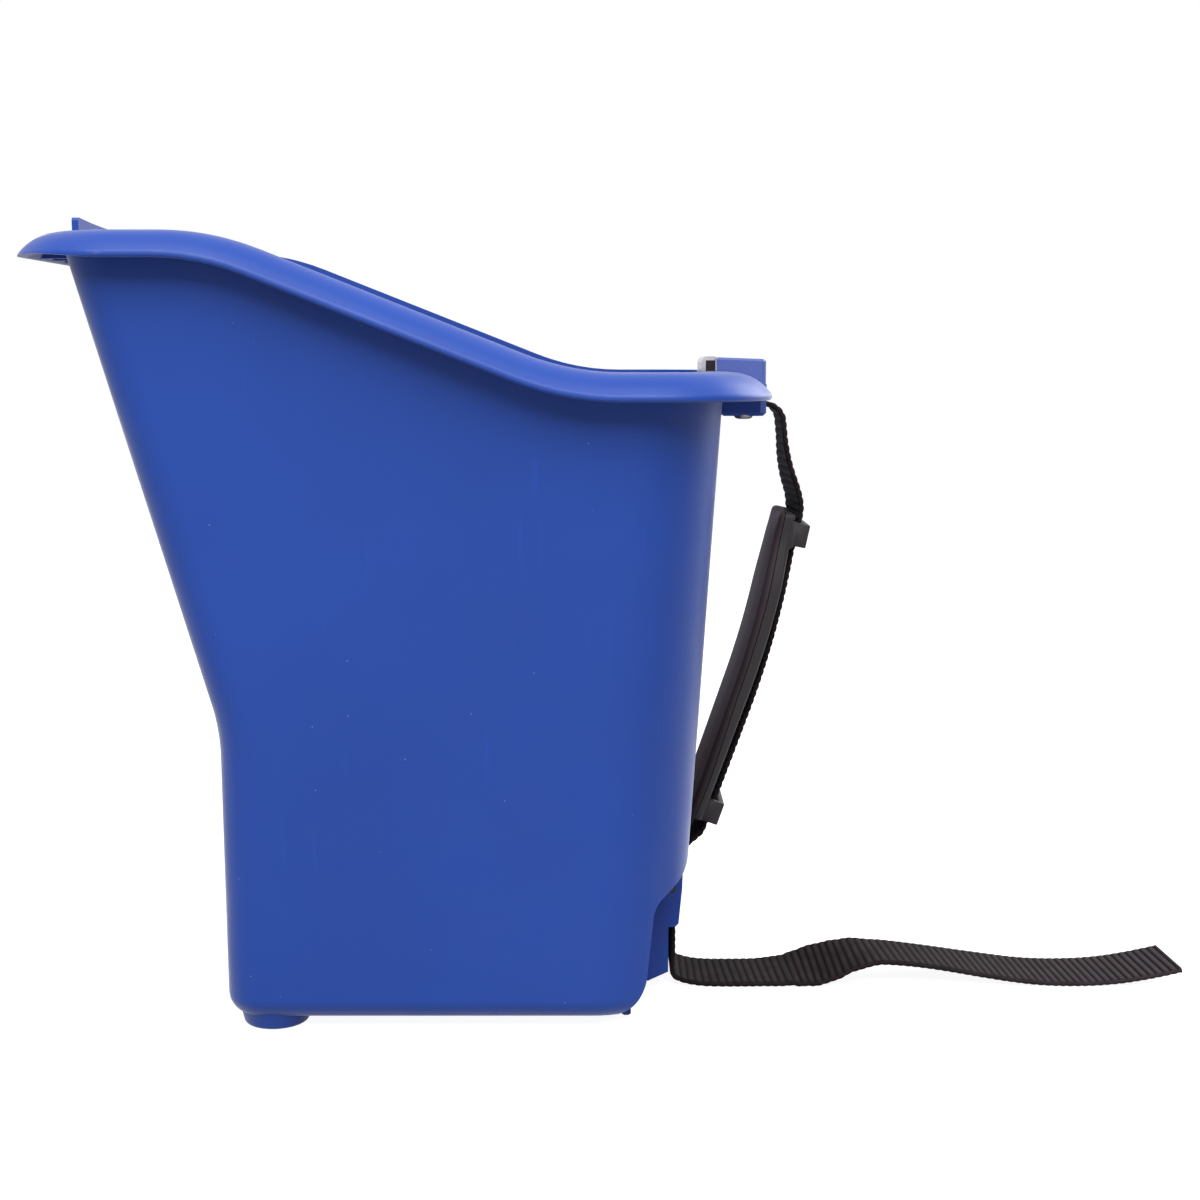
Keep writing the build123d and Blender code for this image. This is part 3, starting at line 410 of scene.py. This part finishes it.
def ribbed_webbing():
    """Black yarn, with painted shade darkening the grooves between the ribs, and fine threads along it."""
    material, tree, shader = blank_material("black_ribbed_webbing")
    along = add_node(tree, "ShaderNodeAttribute", attribute_name="along").outputs["Fac"]
    across = add_node(tree, "ShaderNodeAttribute", attribute_name="across").outputs["Fac"]
    groove_shade_mask = add_node(tree, "ShaderNodeAttribute", attribute_name="groove_shade_mask").outputs["Fac"]
    flat_place = add_node(tree, "ShaderNodeCombineXYZ", {"X": along, "Y": across}).outputs[0]
    black = linear(*WEB_BLACK)
    worn = spread(tree, noise(tree, flat_place, 160.0, 3.0), 0.35, 0.65, 0.0, 1.0)
    clean = blend(tree, worn, scaled(black, 0.85), scaled(black, 1.6))
    place = add_node(tree, "ShaderNodeTexCoord").outputs["Object"]
    reach = add_node(tree, "ShaderNodeSeparateXYZ", {0: place}).outputs["X"]
    dusty = spread(tree, reach, *WEB_DUST_REACH, 0.0, 0.2)
    yarn = blend(tree, dusty, clean, linear(*WEB_DUST))
    # Painted shade: the grooves between the ribs are darkened far below the yarn's colour.
    high = spread(tree, groove_shade_mask, 0.5, 1.0, 0.0, 1.0)
    ribbed = blend(tree, high, scaled(black, 0.12), yarn)
    tree.links.new(ribbed, shader.inputs["Base Color"])
    shader.inputs["Roughness"].default_value = 0.75
    shader.inputs["Specular IOR Level"].default_value = 0.05
    shader.inputs["Sheen Weight"].default_value = 0.03
    shader.inputs["Sheen Roughness"].default_value = 0.4
    strands = add_node(tree, "ShaderNodeMapping", {"Vector": flat_place, "Scale": (420.0, 3200.0, 1.0)})
    thread = noise(tree, strands.outputs[0], 1.0, 1.0)
    bump = add_node(tree, "ShaderNodeBump", {"Height": thread, "Strength": 0.45, "Distance": 0.00012})
    tree.links.new(bump.outputs[0], shader.inputs["Normal"])
    return material


black_webbing = ribbed_webbing()


def webbing_tree():
    """Sweep a flat rounded section along a line and sink grooves between its ribs, inside the selvages."""
    tree, sizes = new_tree("ribbed_webbing_band", list(WEB_SIZES))

    def sum_of(operation, first, second=0.0):
        return add_node(tree, "ShaderNodeMath", {0: first, 1: second}, operation=operation).outputs[0]

    def marked(geometry, name, value):
        return add_node(tree, "GeometryNodeStoreNamedAttribute", {"Geometry": geometry, "Name": name,
                        "Value": value}, data_type="FLOAT", domain="POINT").outputs[0]

    def stored(name):
        return add_node(tree, "GeometryNodeInputNamedAttribute", {"Name": name},
                        data_type="FLOAT").outputs["Attribute"]

    corner = add_node(tree, "GeometryNodeInputRadius")
    rounded = add_node(tree, "GeometryNodeFilletCurve", {"Curve": sizes["Geometry"], "Count": 40,
                       "Radius": corner.outputs[0], "Limit Radius": True}, mode="POLY")
    fine = add_node(tree, "GeometryNodeResampleCurve", {"Curve": rounded.outputs[0],
                    "Length": sizes["Step"]}, mode="LENGTH")
    upright = add_node(tree, "GeometryNodeSetCurveNormal", {"Curve": fine.outputs[0], "Normal": (0, 1, 0)},
                       mode="FREE")
    travel = add_node(tree, "GeometryNodeSplineParameter")
    line = marked(upright.outputs[0], "along", travel.outputs["Length"])
    section = add_node(tree, "GeometryNodeCurvePrimitiveQuadrilateral", {"Width": sizes["Width"],
                       "Height": sizes["Thickness"]})
    soft = add_node(tree, "GeometryNodeFilletCurve", {"Curve": section.outputs[0], "Count": 4,
                    "Radius": sizes["Edge Round"], "Limit Radius": True}, mode="POLY")
    dense = add_node(tree, "GeometryNodeResampleCurve", {"Curve": soft.outputs[0], "Count": 64},
                     mode="COUNT")
    position = add_node(tree, "GeometryNodeInputPosition")
    spot = add_node(tree, "ShaderNodeSeparateXYZ", {0: position.outputs[0]})
    profile = marked(dense.outputs[0], "across", spot.outputs["X"])
    band = add_node(tree, "GeometryNodeCurveToMesh", {"Curve": line, "Profile Curve": profile,
                    "Fill Caps": True}).outputs[0]
    turns = sum_of("DIVIDE", stored("along"), sizes["Rib Pitch"])
    wave = sum_of("ABSOLUTE", sum_of("SINE", sum_of("MULTIPLY", turns, math.pi)))
    rib = sum_of("POWER", wave, 0.7)
    half_width = sum_of("MULTIPLY", sizes["Width"], 0.5)
    inset = sum_of("SUBTRACT", half_width, sum_of("ABSOLUTE", stored("across")))
    reach = add_node(tree, "ShaderNodeClamp", {0: sum_of("DIVIDE", inset, sizes["Selvage"])}).outputs[0]
    flat_edge = sum_of("MULTIPLY", sum_of("SUBTRACT", 1.0, reach), 0.95)
    # Mask for the painted shade in the grooves: low in a groove, high on the ribs and the selvages.
    groove_shade_mask = sum_of("ADD", sum_of("MULTIPLY", rib, reach), flat_edge)
    shaped = marked(band, "groove_shade_mask", groove_shade_mask)
    hollow = sum_of("MULTIPLY", sum_of("SUBTRACT", rib, 1.0), reach)
    lift = sum_of("MULTIPLY", hollow, sizes["Groove Depth"])
    outward = add_node(tree, "GeometryNodeInputNormal")
    offset = add_node(tree, "ShaderNodeVectorMath", {0: outward.outputs[0], "Scale": lift},
                      operation="SCALE")
    grooved = add_node(tree, "GeometryNodeSetPosition", {"Geometry": shaped, "Offset": offset.outputs[0]})
    smooth = add_node(tree, "GeometryNodeSetShadeSmooth", {"Geometry": grooved.outputs[0],
                      "Shade Smooth": True})
    finish_tree(tree, smooth.outputs[0], black_webbing)
    return tree


web_tree = webbing_tree()
strap_line = line_object("strap_line", "POLY", [(x, 0.0, z) for x, z, radius in STRAP_ROUTE],
                         [radius for x, z, radius in STRAP_ROUTE])
strap = plain_mesh(strap_line, "webbing_hand_strap", web_tree, WEB_SIZES)
for vertex in strap.data.vertices:
    above = min(max((vertex.co.z - STRAP_TWIST_FOOT) / STRAP_TWIST_RISE, 0.0), 1.0)
    below = min(max((STRAP_TWIST_TOP - vertex.co.z) / STRAP_TWIST_RISE, 0.0), 1.0)
    vertex.co.x -= STRAP_TWIST * vertex.co.y * above * below
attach(strap, "pail")
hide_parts("hand_strap")

# Loose end of the webbing: it leaves the lock's seat, turns over the floor and lies there in one low hump,
# leaning as it rises, with its end lifted. The cut end is bare.

TAIL_DROP = 0.077993
TAIL_ROUTE = [
    (0.0, 0.0, 0.0109),
    (-0.0006, -0.0002, 0.0042),
    (0.0016, -0.0006, 0.0022),
    (0.0080, -0.0016, 0.00097),
    (0.0160, -0.0025, 0.00097),
    (0.0360, -0.0027, 0.0013),
    (0.0512, -0.0023, 0.0042),
    (0.0640, -0.0020, 0.0087),
    (0.0820, -0.0020, 0.0073),
    (0.1080, -0.0020, 0.0030),
    (0.1240, -0.0020, 0.00097),
    (0.1430, -0.0018, 0.0010),
    (0.1580, -0.0016, 0.0030),
    (0.1692, -0.0015, 0.0056),
]
TAIL_MIDDLE = -0.002
TAIL_LEAN = [(0.028, 0.0), (0.0385, 0.04), (0.0426, 0.115), (0.0481, 0.19), (0.0544, 0.165),
             (0.0597, 0.085), (0.070, -0.02), (0.083, -0.03), (0.115, 0.0)]
TAIL_SKEW = [(0.004, 0.0), (0.02, 0.06), (0.17, 0.06)]


def between(table, place):
    """Value at a place, eased between the places and values of a table."""
    for (start, low), (end, high) in zip(table, table[1:]):
        if place <= end:
            break
    share = min(max((place - start) / (end - start), 0.0), 1.0)
    return low + (high - low) * share**2 * (3 - 2 * share)


tail_points = [(TAIL_DROP + x, y, z) for x, y, z in TAIL_ROUTE]
guide = line_object("tail_guide", "NURBS", tail_points)
guide_mesh = bpy.data.meshes.new_from_object(guide.evaluated_get(bpy.context.evaluated_depsgraph_get()))
bpy.data.objects.remove(guide)
tail_line = line_object("tail_line", "NURBS", tail_points, [0.0] * len(tail_points))
tail = plain_mesh(tail_line, "webbing_tail", web_tree, WEB_SIZES)
for vertex in tail.data.vertices:
    travel = vertex.co.x - TAIL_DROP
    aside = vertex.co.y - TAIL_MIDDLE
    vertex.co.z += between(TAIL_LEAN, travel) * aside
    vertex.co.x -= between(TAIL_SKEW, travel) * aside
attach(tail, "pail")
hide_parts("strap_tail")

# Hand pad: a die-cut closed-cell foam cushion on the hand's side, with a narrow tab at its top that flares
# to full width. It is bonded to a moulded rubber strip of about the same outline, and its foot is pressed
# to the pail's wall. The foam's colour is painted darker towards the foot, as painted shade from the wall.

PAD_ROUTE = [(0.113513, 0.158918), (0.105289, 0.119588), (0.083791, 0.0583)]
PAD_BOW_RADIUS = 0.3
PAD_FLARE = (0.005, 0.027)
PAD_TAPER = 0.008
PAD_STEP = 0.0025
PAD_END_STEPS = [0.0, 0.00012, 0.0003, 0.0006, 0.001, 0.0016, 0.0025]
PAD_EDGE_STEPS = [0.0, 0.0001, 0.0003, 0.0006, 0.0009, 0.0014, 0.0022, 0.0035, 0.006, 0.009, 0.012]
CROWN_RUN = 0.008
CUSHION_OVERRUN = 0.003
CUSHION_FORM = {"tab_half": 0.0153, "half": 0.0195, "tab_corner": 0.0025, "corner": 0.0045,
                "tab_thick": 0.0017, "thick": 0.0021, "edge": 0.0017, "crown": 0.0014}
SEAM_DRIFT = [(0.0, 0.0), (0.055, 0.0), (0.092, 0.0009), (0.107, 0.0004)]
SEAM_ROWS = [(0.0012, 0.0001), (0.00005, 0.00015)]
SEAM_EDGE = 0.0003
WALL_FOOT = 0.078656
WALL_SLOPE = 3.7
WALL_GAP = 0.0004
FOAM_BROWN = (48, 37, 41)
FOAM_BLOOM = (255, 232, 232)
FOAM_PAINTED_SHADE_HEIGHTS = (0.075, 0.135)
SHARP_EDGE = 50.0


def pad_place(travel, outward, y):
    """Point of the pad at a distance down from its top, outward of its middle face, and to one side."""
    top, bow, foot = (Vector((x, 0.0, z)) for x, z in PAD_ROUTE)
    first = (bow - top).normalized()
    second = (foot - bow).normalized()
    turn = first.angle(second)
    aside = (second - first * math.cos(turn)) / math.sin(turn)
    straight = (bow - top).length - PAD_BOW_RADIUS * math.tan(turn / 2)
    swing = min(max((travel - straight) / PAD_BOW_RADIUS, 0.0), turn)
    heading = first * math.cos(swing) + aside * math.sin(swing)
    bend = first * math.sin(swing) + aside * (1 - math.cos(swing))
    point = top + first * min(travel, straight) + bend * PAD_BOW_RADIUS
    point += heading * max(travel - straight - PAD_BOW_RADIUS * turn, 0.0)
    point += Vector((-heading.z, 0.0, heading.x)) * outward
    point.y = y
    return point


def drawn_in(distance, radius):
    """How far a rounded corner draws an edge in, at a distance from the corner's end."""
    short = min(max(radius - distance, 0.0), radius)
    return radius - math.sqrt(radius**2 - short**2)


def pad_strip(side, length, tab_half, half, tab_corner, corner, tab_thick, thick, edge, crown):
    """Closed strip along the pad, on one side of its middle face, its narrow tab flaring to full width."""
    stations = [*PAD_END_STEPS, *(length - distance for distance in PAD_END_STEPS)]
    stations += [PAD_STEP * count for count in range(2, int(length / PAD_STEP))]
    mesh = bmesh.new()
    rings = []
    for travel in sorted({round(value, 5) for value in stations}):
        part = min(max((travel - PAD_FLARE[0]) / (PAD_FLARE[1] - PAD_FLARE[0]), 0.0), 1.0)
        flare = part**2 * (3 - 2 * part)
        reach = tab_half + (half - tab_half) * flare
        reach -= drawn_in(travel, tab_corner) + drawn_in(length - travel, corner)
        full = tab_thick + (thick - tab_thick) * flare
        to_end = min(travel, length - travel)
        seam = side * between(SEAM_DRIFT, travel)
        full -= PAD_TAPER * max(travel - PAD_FLARE[1], 0.0)
        rows = [(reach - inset, seam + high) for inset, high in SEAM_ROWS]
        for inset in PAD_EDGE_STEPS:
            high = max(full - drawn_in(min(inset, to_end), edge), seam + SEAM_EDGE)
            rise = crown * (1 - ((reach - inset) / reach) ** 2) * min(to_end / CROWN_RUN, 1.0)
            rows.append((reach - inset, high + rise))
        ring = []
        for y, high in [*rows, *((-y, high) for y, high in reversed(rows))]:
            place = pad_place(travel, side * high, y)
            place.x = max(place.x, WALL_FOOT + place.z * math.tan(math.radians(WALL_SLOPE)) + WALL_GAP)
            ring.append(mesh.verts.new(place))
        rings.append(ring)
    for before, after in zip(rings, rings[1:]):
        for index in range(len(before)):
            following = (index + 1) % len(before)
            mesh.faces.new((before[index], before[following], after[following], after[index]))
    mesh.faces.new(rings[0])
    mesh.faces.new(rings[-1])
    return mesh


def keep_mesh(mesh, name):
    """Make an object of a finished mesh, its faces outward and smooth but for its sharp edges."""
    bmesh.ops.recalc_face_normals(mesh, faces=mesh.faces)
    for face in mesh.faces:
        face.smooth = True
    data = bpy.data.meshes.new(name)
    mesh.to_mesh(data)
    mesh.free()
    data.set_sharp_from_angle(angle=math.radians(SHARP_EDGE))
    made = bpy.data.objects.new(name, data)
    scene.collection.objects.link(made)
    return made


def closed_foam():
    """Matt closed-cell foam with a warm bloom, painted darker towards its foot as shade."""
    material, tree, shader = blank_material("grey_brown_foam")
    place = add_node(tree, "ShaderNodeTexCoord").outputs["Object"]
    brown = linear(*FOAM_BROWN)
    patch = spread(tree, noise(tree, place, 90.0, 4.0), 0.3, 0.7, 0.0, 1.0)
    clean = blend(tree, patch, scaled(brown, 0.85), scaled(brown, 1.2))
    height = add_node(tree, "ShaderNodeSeparateXYZ", {0: place}).outputs["Z"]
    # Painted shade: the colour darkens towards the foot, where the pail's wall shades the pad.
    painted_shade = spread(tree, height, *FOAM_PAINTED_SHADE_HEIGHTS, 0.65, 0.0)
    tree.links.new(blend(tree, painted_shade, clean, scaled(brown, 0.2)), shader.inputs["Base Color"])
    shader.inputs["Roughness"].default_value = 0.7
    shader.inputs["Specular IOR Level"].default_value = 0.25
    shader.inputs["Sheen Weight"].default_value = 0.11
    shader.inputs["Sheen Roughness"].default_value = 0.35
    shader.inputs["Sheen Tint"].default_value = linear(*FOAM_BLOOM)
    cells = noise(tree, place, 1500.0, 3.0)
    bump = add_node(tree, "ShaderNodeBump", {"Height": cells, "Strength": 0.5, "Distance": 0.0002})
    tree.links.new(bump.outputs[0], shader.inputs["Normal"])
    return material


pad_legs = zip(PAD_ROUTE, PAD_ROUTE[1:])
pad_length = sum(math.hypot(bx - ax, bz - az) for (ax, az), (bx, bz) in pad_legs)
cushion = keep_mesh(pad_strip(-1.0, pad_length + CUSHION_OVERRUN, **CUSHION_FORM), "foam_cushion")
cushion.data.materials.append(closed_foam())
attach(cushion, "pail")
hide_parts("pad_cushion")

# Pad backing: one moulding in black rubber, bonded to the foam, with a loop near each end. The webbing is
# threaded through the loops, whose cheeks run out into the strip with a fillet.

BACKING_FORM = {"tab_half": 0.0148, "half": 0.0190, "tab_corner": 0.002, "corner": 0.004,
                "tab_thick": 0.0035, "thick": 0.0036, "edge": 0.0012, "crown": 0.0004}
LOOP_LENGTH = 0.0076
LOOP_REACH = 0.0052
LOOP_BAR = 0.0022
LOOP_HALF_WIDTH = 0.0148
LOOP_CHEEK = 0.0017
LOOP_FILLET = 0.0016
LOOP_EASE = 0.0004
FOOT_LOOP_EASE = 0.0001
LOOP_EDGE = 0.00035
LOOP_ROOT = 0.001
TOP_LOOP_START = 0.0026
FOOT_LOOP_FROM_END = 0.0078
RUBBER_GREY = (31, 26, 30)


def prism(mesh, outline, low_y, high_y):
    """Add an outline of places along and outward of the pad, drawn out between two sides, and round it."""
    ends = []
    for y in (low_y, high_y):
        ends.append([mesh.verts.new(pad_place(travel, high, y)) for travel, high in outline])
    faces = [mesh.faces.new(ends[0]), mesh.faces.new(reversed(ends[1]))]
    for index in range(len(outline)):
        following = (index + 1) % len(outline)
        corners = (ends[0][index], ends[1][index], ends[1][following], ends[0][following])
        faces.append(mesh.faces.new(corners))
    edges = list(dict.fromkeys(edge for face in faces for edge in face.edges))
    bmesh.ops.bevel(mesh, geom=edges, offset=LOOP_EDGE, segments=2, profile=0.5, affect="EDGES")


def keeper_loop(mesh, start, base, run_outs):
    """Add a loop: a cheek at each side with fillets of the given radii, and a bar across the webbing."""
    end = start + LOOP_LENGTH
    top = base + LOOP_REACH
    sweep = [math.radians(15.0 * count) for count in range(7)]
    before, after = run_outs
    outline = [(start - before + before * math.sin(a), base + before - before * math.cos(a)) for a in sweep]
    outline += [(start, top), (end, top)]
    sweep.reverse()
    outline += [(end + after - after * math.sin(a), base + after - after * math.cos(a)) for a in sweep]
    outline += [(end + after, base - LOOP_ROOT), (start - before, base - LOOP_ROOT)]
    for side in (-1, 1):
        prism(mesh, outline, side * (LOOP_HALF_WIDTH - LOOP_CHEEK), side * LOOP_HALF_WIDTH)
    bar = [(start, top - LOOP_BAR), (start, top), (end, top), (end, top - LOOP_BAR)]
    bar_half = LOOP_HALF_WIDTH - LOOP_CHEEK / 2
    prism(mesh, bar, -bar_half, bar_half)


def moulded_rubber():
    """Black rubber with a patchy grey bloom and a fine grain."""
    material, tree, shader = blank_material("moulded_rubber")
    place = add_node(tree, "ShaderNodeTexCoord").outputs["Object"]
    grey = linear(*RUBBER_GREY)
    bloom = spread(tree, noise(tree, place, 70.0, 4.0), 0.3, 0.7, 0.0, 1.0)
    patchy = blend(tree, bloom, scaled(grey, 0.85), scaled(grey, 1.25))
    tree.links.new(patchy, shader.inputs["Base Color"])
    tree.links.new(spread(tree, bloom, 0.0, 1.0, 0.5, 0.66), shader.inputs["Roughness"])
    shader.inputs["Specular IOR Level"].default_value = 0.3
    grain = noise(tree, place, 1800.0, 2.0)
    bump = add_node(tree, "ShaderNodeBump", {"Height": grain, "Strength": 0.25, "Distance": 0.0001})
    tree.links.new(bump.outputs[0], shader.inputs["Normal"])
    return material


backing_mesh = pad_strip(1.0, pad_length, **BACKING_FORM)
keeper_loop(backing_mesh, TOP_LOOP_START, BACKING_FORM["tab_thick"], (LOOP_EASE, LOOP_FILLET))
foot_loop_start = pad_length - FOOT_LOOP_FROM_END
keeper_loop(backing_mesh, foot_loop_start, BACKING_FORM["thick"], (LOOP_EASE, FOOT_LOOP_EASE))
backing = keep_mesh(backing_mesh, "looped_backing")
backing.data.materials.append(moulded_rubber())
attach(backing, "pail")
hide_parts("pad_backing")

# Strap lock: a moulded blue lever on a dark steel pin between the pail's cheeks. Its jaw nips the
# webbing against the seat behind it.

PIN_STEEL = (48, 47, 50)

dress("lock_lever", blue_plastic)
dress("lock_pin", brushed_steel("blackened_steel", PIN_STEEL, 0.42))
